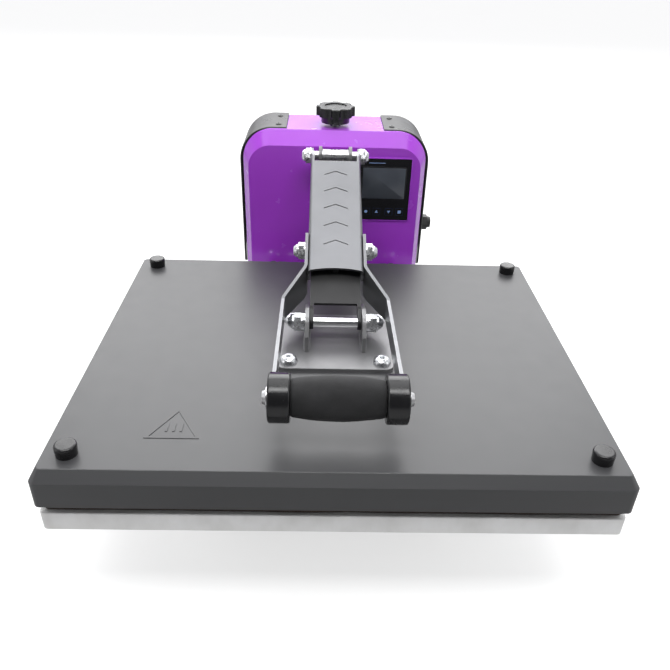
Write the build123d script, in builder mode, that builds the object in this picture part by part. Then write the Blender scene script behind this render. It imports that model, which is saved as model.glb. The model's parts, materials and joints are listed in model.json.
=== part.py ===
from build123d import *
import os

# Clamshell heat press: a fixed base with a lower platen and a rear tower, a head that hinges on a
# rear shaft, and a hand lever with a toggle link that closes the head.
# X is the width, the operator stands at -Y, +Z is up, and the feet stand on Z = 0.

# ---- driving dimensions, mm -------------------------------------------------------------------
PLATEN_Y = -82.5              # centre of the platens
PLATEN_W = 508                # lower platen, 20 in
PLATEN_L = 412                # lower platen, 16 in with its machined edge
PLATEN_T = 20
PLATEN_TOP = 124
PAD_T = 5.2
HEAT_BOTTOM = 129.5
HEAT_T = 16.5
HEAT_W = 502
HEAT_L = 412
COVER_W = 510
COVER_L = 420
COVER_TOP = 170
COVER_BOTTOM = 135
COVER_BEVEL = 9               # height and depth of the sloping band round the cover
COVER_SIDE_BEVEL = 5
SHEET = 1.5

PIVOT_A = (157, 302.4)        # lever on the tower clevis, as Y and Z
PIVOT_B = (9, 236.7)          # link on the lever
PIVOT_C = (-82.5, 196)        # link on the head
PIVOT_D = (162, 138)          # head on the tower
GRIP = (-241.3, 215)          # axis of the hand grip

PIN_R = 6                     # lever and link pins
RUN = 0.05                    # radial running clearance of a pin in a moving part
SHAFT_R = 6.5                 # main shaft of the head
HORN_R = 11                   # tower plates round the shaft
COLLAR_R = 10                 # clamp collars on the shaft
ARM_R = 10.5                  # hinge arms round the shaft
HINGE_X = 71                  # centre of each hinge arm
HINGE_TOP = 136               # hinge arms where they pass the cover's rear skirt
NUT_AF = 17

TOWER_FRONT = 182             # front face of the housing
TOWER_BACK = 282
HOUSING_W = 246
HOUSING_TOP = 324
HOUSING_BOTTOM = 125
HOUSING_BEVEL = 17
HOUSING_SIDE_BEVEL = 8
HOUSING_R = 40
WALL = 2.5
CAP_SCREW_X = 76
CAP_SCREW_Y = (218, 262)
GLAND = (227.5, 187)          # Y and Z of the cable gland in the right-hand cover
PANEL = (64, 250)             # X and Z of the touch panel's centre
PANEL_W = 77
PANEL_H = 86
EAR_X = 19                    # centre of each clevis ear
KNOB_X = 229                  # corner knobs of the cover, from the platen's centre
KNOB_OFF_Y = 182
BOLT_X = 48                   # bracket screws, from the platen's centre
BOLT_Y = 42

RAIL_X = 105                  # centre of each base rail
RAIL_FRONT = -190
RAIL_BACK = 292.5
RAIL_W = 40
RAIL_H = 30
RAIL_WALL = 3
FOOT_H = 14

os.makedirs("parts", exist_ok=True)


def save(name, piece):
    piece.label = name
    export_step(piece, "parts/" + name + ".step")


def yz(x=0):
    """The plane across the width at x, with local x along +Y and local y up."""
    return Plane(origin=(x, 0, 0), x_dir=(0, 1, 0), z_dir=(1, 0, 0))


def xz(y):
    """The upright plane at y that faces the operator, with local x along +X and local y up."""
    return Plane(origin=(0, y, 0), x_dir=(1, 0, 0), z_dir=(0, -1, 0))


def reflect(piece):
    return mirror(piece, about=Plane.YZ)


# ---- the lever's own plane: local x runs from A to B, local y points under the lever ----------
AB = Vector(0, PIVOT_B[0] - PIVOT_A[0], PIVOT_B[1] - PIVOT_A[1])
AB_LENGTH = AB.length
LEVER = Plane(origin=(0, *PIVOT_A), x_dir=AB, z_dir=(1, 0, 0))
BC = Vector(0, PIVOT_C[0] - PIVOT_B[0], PIVOT_C[1] - PIVOT_B[1])
BC_LENGTH = BC.length
LINK = Plane(origin=(0, *PIVOT_B), x_dir=BC, z_dir=(1, 0, 0))


def shifted(plane, x):
    """The same plane moved along the machine's width."""
    return Plane(origin=plane.origin + Vector(x, 0, 0), x_dir=plane.x_dir, z_dir=plane.z_dir)


# ---- small repeated pieces --------------------------------------------------------------------
def acorn_nut(x, pivot, bore, length):
    """An acorn nut whose flat side is at x, whose dome points outwards, on a bolt of radius bore."""
    side = 1 if x > 0 else -1
    seat = Plane(origin=(x, *pivot), x_dir=(0, 1, 0), z_dir=(side, 0, 0))
    hexagon = 0.52 * length
    collar = 0.15 * length
    with BuildPart() as nut:
        with BuildSketch(seat):
            RegularPolygon(NUT_AF / 2, 6, major_radius=False)
        extrude(amount=hexagon)
        with BuildSketch(seat.offset(hexagon)):
            Circle(7.7)
        extrude(amount=collar)
        with BuildSketch(seat.offset(hexagon + collar)):
            Circle(7.7)
        extrude(amount=length - hexagon - collar, taper=38)
        fillet(nut.edges().filter_by(GeomType.CIRCLE).sort_by(lambda e: abs(e.center().X))[-2:], 1.6)
        with BuildSketch(seat):
            Circle(bore)
        extrude(amount=0.6 * length, mode=Mode.SUBTRACT)
    return nut.part


def washer(x, pivot, thickness, outer, inner):
    side = 1 if x > 0 else -1
    with BuildPart() as ring:
        with BuildSketch(Plane(origin=(x, *pivot), x_dir=(0, 1, 0), z_dir=(side, 0, 0))):
            Circle(outer)
            Circle(inner, mode=Mode.SUBTRACT)
        extrude(amount=thickness)
    return ring.part


def rod(x0, x1, pivot, radius):
    """A round bar across the machine from x0 to x1."""
    with BuildPart() as bar:
        with BuildSketch(Plane(origin=(x0, *pivot), x_dir=(0, 1, 0), z_dir=(1, 0, 0))):
            Circle(radius)
        extrude(amount=x1 - x0)
    return bar.part


def button_screw(x, y, z, head_r=8, head_h=5, shank_r=3, shank=12):
    """A button-head socket screw that stands on z, with its shank below."""
    with BuildPart() as screw:
        with BuildSketch(Plane.XZ.offset(-y)):
            with BuildLine():
                Line((x, z - shank), (x, z + head_h))
                Line((x, z + head_h), (x + head_r * 0.5, z + head_h))
                ThreePointArc((x + head_r * 0.5, z + head_h), (x + head_r * 0.87, z + head_h * 0.62),
                              (x + head_r, z))
                Line((x + head_r, z), (x + shank_r, z))
                Line((x + shank_r, z), (x + shank_r, z - shank))
                Line((x + shank_r, z - shank), (x, z - shank))
            make_face()
        revolve(axis=Axis((x, y, 0), (0, 0, 1)))
        with BuildSketch(Plane.XY.offset(z + head_h)):
            with Locations((x, y)):
                RegularPolygon(head_r * 0.32, 6)
        extrude(amount=-head_h * 0.6, mode=Mode.SUBTRACT)
    return screw.part


# ---- base -------------------------------------------------------------------------------------
def base_rail(side):
    """A rectangular tube, open at both ends, that runs the full depth under the machine."""
    with BuildPart() as rail:
        with BuildSketch(xz(RAIL_BACK)):
            with Locations((side * RAIL_X, FOOT_H + RAIL_H / 2)):
                RectangleRounded(RAIL_W, RAIL_H, 4)
                RectangleRounded(RAIL_W - 2 * RAIL_WALL, RAIL_H - 2 * RAIL_WALL, 2, mode=Mode.SUBTRACT)
        extrude(amount=RAIL_BACK - RAIL_FRONT)
    return rail.part


def cross_bar(y, width):
    """A cross tube welded between the two rails."""
    with BuildPart() as bar:
        with BuildSketch(Plane.XY.offset(FOOT_H)):
            with Locations((0, y)):
                Rectangle(2 * RAIL_X - RAIL_W, width)
        extrude(amount=RAIL_H)
        with BuildSketch(yz(-RAIL_X)):
            with Locations((y, FOOT_H + RAIL_H / 2)):
                Rectangle(width - 5, RAIL_H - 5)
        extrude(amount=2 * RAIL_X, mode=Mode.SUBTRACT)
    return bar.part


def feet():
    """Four turned rubber feet under the rails."""
    with BuildPart() as group:
        for x in (-RAIL_X, RAIL_X):
            for y in (RAIL_FRONT + 30, RAIL_BACK - 35):
                with BuildSketch(Plane.XZ.offset(-y)):
                    with BuildLine():
                        Polyline((x, 0), (x + 16, 0), (x + 19, 3), (x + 16.5, FOOT_H), (x, FOOT_H),
                                 close=True)
                    make_face()
                revolve(axis=Axis((x, y, 0), (0, 0, 1)))
    return group.part


def pedestal():
    """The cast block that carries the lower platen on the two middle cross tubes."""
    with BuildPart() as block:
        with BuildSketch(Plane.XY.offset(FOOT_H + RAIL_H)):
            with Locations((0, PLATEN_Y)):
                RectangleRounded(230, 190, 14)
        extrude(amount=14)
        with BuildSketch(Plane.XY.offset(FOOT_H + RAIL_H + 14)):
            with Locations((0, PLATEN_Y)):
                RectangleRounded(130, 110, 20)
        with BuildSketch(Plane.XY.offset(PLATEN_TOP - PLATEN_T - 12)):
            with Locations((0, PLATEN_Y)):
                RectangleRounded(180, 150, 20)
        loft()
        with BuildSketch(Plane.XY.offset(PLATEN_TOP - PLATEN_T - 12)):
            with Locations((0, PLATEN_Y)):
                RectangleRounded(240, 200, 14)
        extrude(amount=12)
        with Locations((0, PLATEN_Y, 44)):
            Box(100, 80, 88, mode=Mode.SUBTRACT)
    return block.part


def lower_platen():
    with BuildPart() as plate:
        with BuildSketch(Plane.XY.offset(PLATEN_TOP - PLATEN_T)):
            with Locations((0, PLATEN_Y)):
                RectangleRounded(PLATEN_W, PLATEN_L, 5)
        extrude(amount=PLATEN_T)
        chamfer(plate.faces().sort_by(Axis.Z)[-1].edges(), 0.8)
        chamfer(plate.faces().sort_by(Axis.Z)[0].edges(), 0.8)
    return plate.part


def silicone_pad():
    with BuildPart() as pad:
        with BuildSketch(Plane.XY.offset(PLATEN_TOP)):
            with Locations((0, PLATEN_Y)):
                RectangleRounded(PLATEN_W - 6, PLATEN_L - 6, 4)
        extrude(amount=PAD_T)
    return pad.part


def tower_plate(side):
    """A side plate of the tower, with the horn in front that holds the head's pivot shaft."""
    y, z = PIVOT_D
    x = 80 if side > 0 else -86
    with BuildPart() as plate:
        with BuildSketch(yz(x)):
            with BuildLine():
                Polyline((y - HORN_R, FOOT_H + RAIL_H), (y - HORN_R, z), (y + HORN_R, z), (y + HORN_R, 112),
                         (TOWER_FRONT + 12, 112), (TOWER_FRONT + 12, 296), (TOWER_BACK - 24, 296),
                         (TOWER_BACK - 14, 150), (TOWER_BACK - 4, FOOT_H + RAIL_H), close=True)
            make_face()
            with Locations((y, z)):
                Circle(HORN_R)
                Circle(SHAFT_R, mode=Mode.SUBTRACT)
        extrude(amount=6)
    return plate.part


def tower_foot(side):
    """The angle that bolts a side plate of the tower down to its rail."""
    with BuildPart() as angle:
        with BuildSketch(xz(TOWER_BACK - 10)):
            with BuildLine():
                x = side * 86
                z = FOOT_H + RAIL_H
                Polyline((x, z), (x + side * 36, z), (x + side * 36, z + 5), (x + side * 5, z + 5),
                         (x + side * 5, z + 34), (x, z + 34), close=True)
            make_face()
        extrude(amount=TOWER_BACK - 10 - 160)
    return angle.part


def tower_bridge():
    """The cross plate between the tower plates that the clevis and the pressure screw hang on."""
    with BuildPart() as bridge:
        with Locations((0, TOWER_FRONT + 44, 284)):
            Box(160, 58, 8)
        with Locations((0, TOWER_FRONT + 18, 266)):
            Box(160, 6, 28)
        with Locations((0, 224.5, 284)):
            Cylinder(5.5, 40, mode=Mode.SUBTRACT)
    return bridge.part


def clevis(side):
    """One ear of the fixed clevis, which reaches through the housing to the lever's pivot A."""
    y, z = PIVOT_A
    with BuildPart() as ear:
        with BuildSketch(yz(side * EAR_X - 2)):
            with BuildLine():
                Polyline((y, z - 12), (TOWER_FRONT + 15, z - 20), (TOWER_FRONT + 15, 288),
                         (TOWER_FRONT + 40, 288), (TOWER_FRONT + 40, z + 0.6), (y + 21, z + 0.6),
                         (y, z + 12), close=True)
            make_face()
            with Locations((y, z)):
                Circle(12)
                Circle(PIN_R + RUN, mode=Mode.SUBTRACT)
        extrude(amount=4)
    return ear.part


def pivot_shaft():
    """The main shaft of the head, fixed in both tower plates."""
    y, z = PIVOT_D
    with BuildPart() as shaft:
        with BuildSketch(Plane(origin=(-93, y, z), x_dir=(0, 1, 0), z_dir=(1, 0, 0))):
            Circle(SHAFT_R)
        extrude(amount=186)
        chamfer(shaft.edges().filter_by(GeomType.CIRCLE), 1)
    return shaft.part


def shaft_collars():
    """Two clamp collars that keep the main shaft in the tower plates."""
    left = washer(-86, PIVOT_D, 5.5, COLLAR_R, SHAFT_R)
    right = washer(86, PIVOT_D, 5.5, COLLAR_R, SHAFT_R)
    return Compound(children=[left, right])


# ---- housing ----------------------------------------------------------------------------------
def housing_outline(width, top, radius):
    """The tower housing seen from the front, standing on its open bottom edge."""
    half = width / 2
    with BuildSketch() as outline:
        with BuildLine():
            Line((-half, HOUSING_BOTTOM), (half, HOUSING_BOTTOM))
            Line((half, HOUSING_BOTTOM), (half, top - radius))
            ThreePointArc((half, top - radius), (half - radius * 0.293, top - radius * 0.293),
                          (half - radius, top))
            Line((half - radius, top), (-half + radius, top))
            ThreePointArc((-half + radius, top), (-half + radius * 0.293, top - radius * 0.293),
                          (-half, top - radius))
            Line((-half, top - radius), (-half, HOUSING_BOTTOM))
        make_face()
    return outline.sketch


def housing_front():
    """The painted shell: bevelled front, short returns, and the strip along the top."""
    front_w = HOUSING_W - 2 * HOUSING_SIDE_BEVEL
    front_top = HOUSING_TOP - HOUSING_BEVEL
    brow = TOWER_FRONT + HOUSING_BEVEL
    with BuildPart() as shell:
        with BuildSketch(xz(TOWER_FRONT)):
            add(housing_outline(front_w, front_top, HOUSING_R - 10))
        with BuildSketch(xz(brow)):
            add(housing_outline(HOUSING_W, HOUSING_TOP, HOUSING_R))
        loft()
        with BuildSketch(xz(brow + 4)):
            add(housing_outline(HOUSING_W, HOUSING_TOP, HOUSING_R))
        extrude(amount=4)
        with BuildSketch(xz(TOWER_FRONT + WALL)):
            add(housing_outline(front_w - 2 * WALL, front_top - WALL + 1, HOUSING_R - 11))
        with BuildSketch(xz(brow)):
            add(housing_outline(HOUSING_W - 2 * WALL, HOUSING_TOP - WALL, HOUSING_R - WALL))
        loft(mode=Mode.SUBTRACT)
        with BuildSketch(xz(brow + 5)):
            add(housing_outline(HOUSING_W - 2 * WALL, HOUSING_TOP - WALL, HOUSING_R - WALL))
        extrude(amount=5, mode=Mode.SUBTRACT)
        with Locations((0, (brow + TOWER_BACK - 4) / 2, HOUSING_TOP - WALL / 2)):
            Box(129, TOWER_BACK - 4 - brow, WALL)
        with Locations((0, TOWER_FRONT, HOUSING_BOTTOM)):
            Box(HOUSING_W, 20, 2, mode=Mode.SUBTRACT)
        for x in (-EAR_X, EAR_X):
            with Locations((x, TOWER_FRONT + 8, PIVOT_A[1] - 7.9)):
                Box(5.4, 30, 22, mode=Mode.SUBTRACT)
        with Locations((PANEL[0], TOWER_FRONT + 0.5, PANEL[1])):
            Box(PANEL_W + 0.6, 1, PANEL_H + 0.6, mode=Mode.SUBTRACT)
        with Locations((PANEL[0], TOWER_FRONT, PANEL[1])):
            Box(PANEL_W - 11, 12, PANEL_H - 12, mode=Mode.SUBTRACT)
        with Locations((0, 224.5, HOUSING_TOP)):
            Cylinder(7, 12, mode=Mode.SUBTRACT)
    return shell.part


def housing_cap(side):
    """A moulded side cover that wraps from the top strip round the corner and down the side."""
    outer_w = HOUSING_W + 10
    top = HOUSING_TOP + 1.5
    radius = HOUSING_R + 5
    brow = TOWER_FRONT + HOUSING_BEVEL + 4.5
    with BuildPart() as cap:
        with BuildSketch(xz(TOWER_BACK)):
            add(housing_outline(outer_w, top, radius))
        extrude(amount=TOWER_BACK - brow)
        fillet(cap.faces().sort_by(Axis.Y)[0].edges().filter_by(GeomType.LINE, reverse=True), 2)
        with BuildSketch(xz(TOWER_BACK + 1)):
            add(housing_outline(outer_w - 6, top - 3, radius - 3))
        extrude(amount=TOWER_BACK - brow + 2, mode=Mode.SUBTRACT)
        with Locations((-side * 40, TOWER_BACK - 40, 240)):
            Box(210, 200, 240, mode=Mode.SUBTRACT)
        with BuildSketch(yz(side * 100)):
            with Locations((brow, HOUSING_BOTTOM), (TOWER_BACK, HOUSING_BOTTOM)):
                Rectangle(32, 32)
            with Locations((brow + 16, HOUSING_BOTTOM + 16), (TOWER_BACK - 16, HOUSING_BOTTOM + 16)):
                Circle(16, mode=Mode.SUBTRACT)
        extrude(amount=side * 40, mode=Mode.SUBTRACT)
        for y in CAP_SCREW_Y:
            with Locations((side * CAP_SCREW_X, y, HOUSING_TOP)):
                Cylinder(1.8, 10, mode=Mode.SUBTRACT)
        if side > 0:
            with Locations((HOUSING_W / 2 + 3, *GLAND)):
                Cylinder(6, 12, rotation=(0, 90, 0), mode=Mode.SUBTRACT)
    return cap.part


def housing_back():
    """The rear panel, with the holes for the mains inlet and the switch."""
    with BuildPart() as panel:
        with BuildSketch(xz(TOWER_BACK - 1)):
            add(housing_outline(HOUSING_W + 3.6, HOUSING_TOP - 1.7, HOUSING_R + 1.5))
        extrude(amount=2.5)
        with Locations((-60, TOWER_BACK - 2, 170)):
            Box(28, 8, 21, mode=Mode.SUBTRACT)
        with Locations((-60, TOWER_BACK - 2, 202)):
            Box(27.6, 8, 13.6, mode=Mode.SUBTRACT)
        for row in range(6):
            with Locations((30, TOWER_BACK - 2, 170 + 9 * row)):
                Box(70, 8, 3.5, mode=Mode.SUBTRACT)
        with BuildSketch(xz(TOWER_BACK)):
            with Locations((-88, 300), (88, 300), (-100, 140), (100, 140)):
                Circle(2)
        extrude(amount=8, mode=Mode.SUBTRACT)
    return panel.part


def back_screws():
    with BuildPart() as group:
        for x, z in ((-88, 300), (88, 300), (-100, 140), (100, 140)):
            seat = Plane(origin=(x, TOWER_BACK - 1, z), x_dir=(1, 0, 0), z_dir=(0, 1, 0))
            with BuildSketch(seat):
                Circle(3.6)
            extrude(amount=1, taper=20)
            with BuildSketch(seat):
                Circle(1.95)
            extrude(amount=-8)
    return group.part


def cap_screws():
    """Two recessed screws on top of each side cover."""
    pieces = []
    for x in (-CAP_SCREW_X, CAP_SCREW_X):
        for y in CAP_SCREW_Y:
            pieces.append(button_screw(x, y, HOUSING_TOP + 1.5, 4, 1.4, 1.8, 9))
    return Compound(children=pieces)


def display_panel():
    """The black glass touch panel."""
    with BuildPart() as glass:
        with BuildSketch(xz(TOWER_FRONT + 1)):
            with Locations(PANEL):
                RectangleRounded(PANEL_W, PANEL_H, 2)
        extrude(amount=1.6)
        chamfer(glass.faces().sort_by(Axis.Y)[0].edges(), 0.4)
    return glass.part


def control_board():
    """The display module and its circuit board, behind the panel."""
    with BuildPart() as board:
        with Locations((PANEL[0], TOWER_FRONT + 3.5, PANEL[1] + 6)):
            Box(58, 5, 46)
        with Locations((PANEL[0], TOWER_FRONT + 6.8, PANEL[1])):
            Box(64, 1.6, 72)
    return board.part


def inlet():
    """The mains appliance inlet in the rear panel."""
    with BuildPart() as socket:
        with Locations((-60, TOWER_BACK - 13, 170)):
            Box(27.6, 24, 20.6)
        with Locations((-60, TOWER_BACK - 0.2, 170)):
            Box(34, 1.6, 26)
        with BuildSketch(xz(TOWER_BACK + 1)):
            with Locations((-60, 170)):
                RectangleRounded(24, 16, 3)
        extrude(amount=16, mode=Mode.SUBTRACT)
        for x in (-67, -60, -53):
            with Locations((x, TOWER_BACK - 10, 170)):
                Box(2, 12, 4)
    return socket.part


def switch_frame():
    with BuildPart() as frame:
        with Locations((-60, TOWER_BACK - 8, 202)):
            Box(27.2, 15, 13.2)
        with Locations((-60, TOWER_BACK - 0.2, 202)):
            Box(31, 1.6, 17)
        with Locations((-60, TOWER_BACK - 4, 202)):
            Box(23, 16, 10.6, mode=Mode.SUBTRACT)
    return frame.part


def rocker():
    """The rocker of the power switch, a shallow V that turns on its middle."""
    with BuildPart() as key:
        with BuildSketch(Plane.XY.offset(202 - 4.9)):
            with BuildLine():
                x = -60
                y = TOWER_BACK
                Polyline((x - 10, y - 5), (x - 10, y + 0.2), (x, y - 1.2), (x + 10, y + 2.4),
                         (x + 10, y - 5), close=True)
            make_face()
        extrude(amount=9.8)
    return key.part


def cable_gland():
    """The nylon gland in the right-hand side cover that the heater lead leaves through."""
    seat = Plane(origin=(HOUSING_W / 2 + 5.2, *GLAND), x_dir=(0, 1, 0), z_dir=(1, 0, 0))
    with BuildPart() as gland:
        with BuildSketch(seat):
            RegularPolygon(11, 6)
        extrude(amount=9)
        with BuildSketch(seat.offset(9)):
            Circle(8.6)
        extrude(amount=5, taper=12)
        with BuildSketch(seat):
            Circle(6)
        extrude(amount=-12)
        with BuildSketch(seat.offset(15)):
            Circle(3.4)
        extrude(amount=-28, mode=Mode.SUBTRACT)
    return gland.part


# ---- pressure adjustment ----------------------------------------------------------------------
KNOB_Y = 224.5
KNOB_GAP = 5                  # from the housing's top to the knob, where the screw shows
SCREW_R = 5
GUIDE_X = 32
GUIDE_R = 4


def pressure_knob():
    """The eight-lobed knob on top of the housing."""
    base = HOUSING_TOP + KNOB_GAP
    with BuildPart() as knob:
        with BuildSketch(Plane.XY.offset(base)):
            with Locations((0, KNOB_Y)):
                Circle(19)
        extrude(amount=10, taper=-4)
        with BuildSketch(Plane.XY.offset(base + 9)):
            with Locations((0, KNOB_Y)):
                Circle(26)
            with Locations((0, KNOB_Y)):
                with PolarLocations(29, 8, start_angle=22.5):
                    Circle(6.5, mode=Mode.SUBTRACT)
        extrude(amount=12)
        fillet(knob.faces().sort_by(Axis.Z)[-1].edges(), 2)
        with BuildSketch(Plane.XY.offset(base + 21)):
            with Locations((0, KNOB_Y)):
                Circle(15)
        extrude(amount=-1.2, mode=Mode.SUBTRACT)
    return knob.part


def pressure_screw():
    with BuildPart() as screw:
        with BuildSketch(Plane.XY.offset(206)):
            with Locations((0, KNOB_Y)):
                Circle(SCREW_R)
        extrude(amount=HOUSING_TOP + KNOB_GAP - 206)
    return screw.part


def pressure_block():
    """The nut block that the screw raises and lowers under the bridge."""
    with BuildPart() as block:
        with Locations((0, KNOB_Y, 240)):
            Box(84, 34, 24)
            Cylinder(SCREW_R + RUN, 30, mode=Mode.SUBTRACT)
        with Locations((-GUIDE_X, KNOB_Y, 240), (GUIDE_X, KNOB_Y, 240)):
            Cylinder(GUIDE_R + RUN, 30, mode=Mode.SUBTRACT)
    return block.part


def guide_rods():
    """Two rods under the bridge that keep the nut block from turning."""
    pieces = []
    for x in (-GUIDE_X, GUIDE_X):
        with BuildPart() as guide:
            with BuildSketch(Plane.XY.offset(206)):
                with Locations((x, KNOB_Y)):
                    Circle(GUIDE_R)
            extrude(amount=74)
        pieces.append(guide.part)
    return Compound(children=pieces)


# ---- head -------------------------------------------------------------------------------------
def heat_platen():
    with BuildPart() as plate:
        with BuildSketch(Plane.XY.offset(HEAT_BOTTOM)):
            with Locations((0, PLATEN_Y)):
                RectangleRounded(HEAT_W, HEAT_L, 5)
        extrude(amount=HEAT_T)
        chamfer(plate.faces().sort_by(Axis.Z)[0].edges(), 1)
    return plate.part


def heating_element():
    """The tubular element that lies in three loops on the platen, under the blanket."""
    z = HEAT_BOTTOM + HEAT_T + 4
    x0, x1 = -190, 190
    with BuildPart() as element:
        with BuildLine() as path:
            FilletPolyline((x0, PLATEN_Y + 150, z), (x1, PLATEN_Y + 150, z), (x1, PLATEN_Y + 90, z),
                           (x0, PLATEN_Y + 90, z), (x0, PLATEN_Y + 30, z), (-80, PLATEN_Y + 30, z),
                           radius=24)
        with BuildSketch(Plane(origin=(x0, PLATEN_Y + 150, z), z_dir=(1, 0, 0))):
            Circle(4)
        sweep()
    return element.part


def insulation():
    """The mineral blanket that fills the cover over the platen."""
    with BuildPart() as blanket:
        with BuildSketch(Plane.XY.offset(HEAT_BOTTOM + HEAT_T + 8.4)):
            with Locations((0, PLATEN_Y)):
                RectangleRounded(484, 388, 8)
                with GridLocations(2 * BOLT_X, 2 * BOLT_Y, 2, 2):
                    Circle(9, mode=Mode.SUBTRACT)
                with GridLocations(2 * KNOB_X, 2 * KNOB_OFF_Y, 2, 2):
                    Circle(11, mode=Mode.SUBTRACT)
        extrude(amount=9.6)
    return blanket.part


def cover_solid(grow, top, bottom):
    """The cover's outer shape, or with a negative grow the space inside it."""
    with BuildPart() as solid:
        with BuildSketch(Plane.XY.offset(bottom)):
            with Locations((0, PLATEN_Y)):
                RectangleRounded(COVER_W + grow, COVER_L + grow, 6)
        extrude(amount=COVER_TOP - COVER_BEVEL - bottom)
        with BuildSketch(Plane.XY.offset(COVER_TOP - COVER_BEVEL)):
            with Locations((0, PLATEN_Y)):
                RectangleRounded(COVER_W + grow, COVER_L + grow, 6)
        with BuildSketch(Plane.XY.offset(top)):
            with Locations((0, PLATEN_Y)):
                RectangleRounded(COVER_W - 2 * COVER_SIDE_BEVEL + grow,
                                 COVER_L - 2 * COVER_BEVEL + grow, 4)
        loft()
    return solid.part


def cover():
    """The folded sheet cover with its sloping edge and the raised triangle at the front left."""
    outside = cover_solid(0, COVER_TOP, COVER_BOTTOM)
    inside = cover_solid(-2 * SHEET, COVER_TOP - SHEET, COVER_BOTTOM - 1)
    with BuildPart() as shell:
        add(outside)
        fillet(shell.faces().sort_by(Axis.Z)[-1].edges(), 1)
        add(inside, mode=Mode.SUBTRACT)
        for x in (-HINGE_X, HINGE_X):
            with Locations((x, PLATEN_Y + COVER_L / 2, COVER_BOTTOM)):
                Box(46, 8, 2 * (HINGE_TOP + 1 - COVER_BOTTOM), mode=Mode.SUBTRACT)
        with BuildSketch(Plane.XY.offset(COVER_TOP - 0.2)):
            with Locations((-145.2, PLATEN_Y - 139.6)):
                Triangle(a=49, b=49, c=49, align=(Align.CENTER, Align.CENTER))
            with Locations((-145.2, PLATEN_Y - 140.9)):
                Triangle(a=41, b=41, c=41, align=(Align.CENTER, Align.CENTER), mode=Mode.SUBTRACT)
            with Locations((-145.2, PLATEN_Y - 146)):
                with GridLocations(6.5, 0, 3, 1):
                    Rectangle(2.2, 11)
        extrude(amount=0.7)
        with BuildSketch(Plane.XY.offset(COVER_TOP + 1)):
            with Locations((0, PLATEN_Y)):
                with GridLocations(2 * BOLT_X, 2 * BOLT_Y, 2, 2):
                    Circle(3.2)
                with GridLocations(2 * KNOB_X, 2 * KNOB_OFF_Y, 2, 2):
                    Circle(3.2)
        extrude(amount=-4, mode=Mode.SUBTRACT)
    return shell.part


def posts():
    """Eight spacer posts between the platen and the cover, under the knobs and the bracket."""
    pieces = []
    low = HEAT_BOTTOM + HEAT_T
    spots = [(x, y, 8) for x in (-BOLT_X, BOLT_X) for y in (-BOLT_Y, BOLT_Y)]
    spots += [(x, y, 7) for x in (-KNOB_X, KNOB_X) for y in (-KNOB_OFF_Y, KNOB_OFF_Y)]
    for x, y, radius in spots:
        with BuildPart() as post:
            with BuildSketch(Plane.XY.offset(low)):
                with Locations((x, PLATEN_Y + y)):
                    Circle(radius)
                    Circle(3, mode=Mode.SUBTRACT)
            extrude(amount=COVER_TOP - SHEET - low)
        pieces.append(post.part)
    return Compound(children=pieces)


def cover_knobs():
    """Four rubber cap nuts that hold the cover at its corners."""
    with BuildPart() as group:
        for x in (-KNOB_X, KNOB_X):
            for y in (-KNOB_OFF_Y, KNOB_OFF_Y):
                with BuildSketch(Plane.XZ.offset(-(PLATEN_Y + y))):
                    with BuildLine():
                        z = COVER_TOP
                        Line((x, z - 18), (x, z + 11))
                        Line((x, z + 11), (x + 7.5, z + 11))
                        ThreePointArc((x + 7.5, z + 11), (x + 9.1, z + 10.3), (x + 9.7, z + 8.6))
                        Line((x + 9.7, z + 8.6), (x + 9.2, z))
                        Line((x + 9.2, z), (x + 2.95, z))
                        Line((x + 2.95, z), (x + 2.95, z - 18))
                        Line((x + 2.95, z - 18), (x, z - 18))
                    make_face()
                revolve(axis=Axis((x, PLATEN_Y + y, 0), (0, 0, 1)))
    return group.part


def bracket_plate():
    with BuildPart() as plate:
        with BuildSketch(Plane.XY.offset(COVER_TOP)):
            with Locations((0, PLATEN_Y)):
                RectangleRounded(120, 110, 9)
                with GridLocations(2 * BOLT_X, 2 * BOLT_Y, 2, 2):
                    Circle(3.2, mode=Mode.SUBTRACT)
        extrude(amount=4)
        fillet(plate.faces().sort_by(Axis.Z)[-1].edges().filter_by(GeomType.LINE), 0.8)
    return plate.part


def bracket_ear(side):
    """An upright ear of the head bracket, with the hole of pivot C."""
    y, z = PIVOT_C
    x = 28 if side > 0 else -32
    low = COVER_TOP + 4
    with BuildPart() as ear:
        with BuildSketch(yz(x)) as profile:
            with BuildLine():
                Polyline((y - 25, low), (y - 25, z - 4), (y - 13, z + 12), (y + 10, z + 12),
                         (y + 38, z + 2), (y + 38, low), close=True)
            make_face()
            fillet(profile.vertices().group_by(Axis.Y)[-1], 9)
            with Locations((y, z)):
                Circle(5, mode=Mode.SUBTRACT)
        extrude(amount=4)
    return ear.part


def bracket_screws():
    pieces = []
    for x in (-BOLT_X, BOLT_X):
        for y in (-BOLT_Y, BOLT_Y):
            pieces.append(button_screw(x, PLATEN_Y + y, COVER_TOP + 4, 9.3, 6, 2.95, 20))
    return Compound(children=pieces)


def ear_bolts():
    """Two short bolts of pivot C, one in each ear."""
    right = rod(28, 42.3, PIVOT_C, 5)
    left = rod(-42.3, -28, PIVOT_C, 5)
    return Compound(children=[left, right])


def ear_washers():
    return Compound(children=[washer(x, PIVOT_C, 4.3, 10, 5) for x in (-32, 32)])


def ear_nuts():
    return Compound(children=[acorn_nut(x, PIVOT_C, 5, 14.3) for x in (-36.3, 36.3)])


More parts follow.
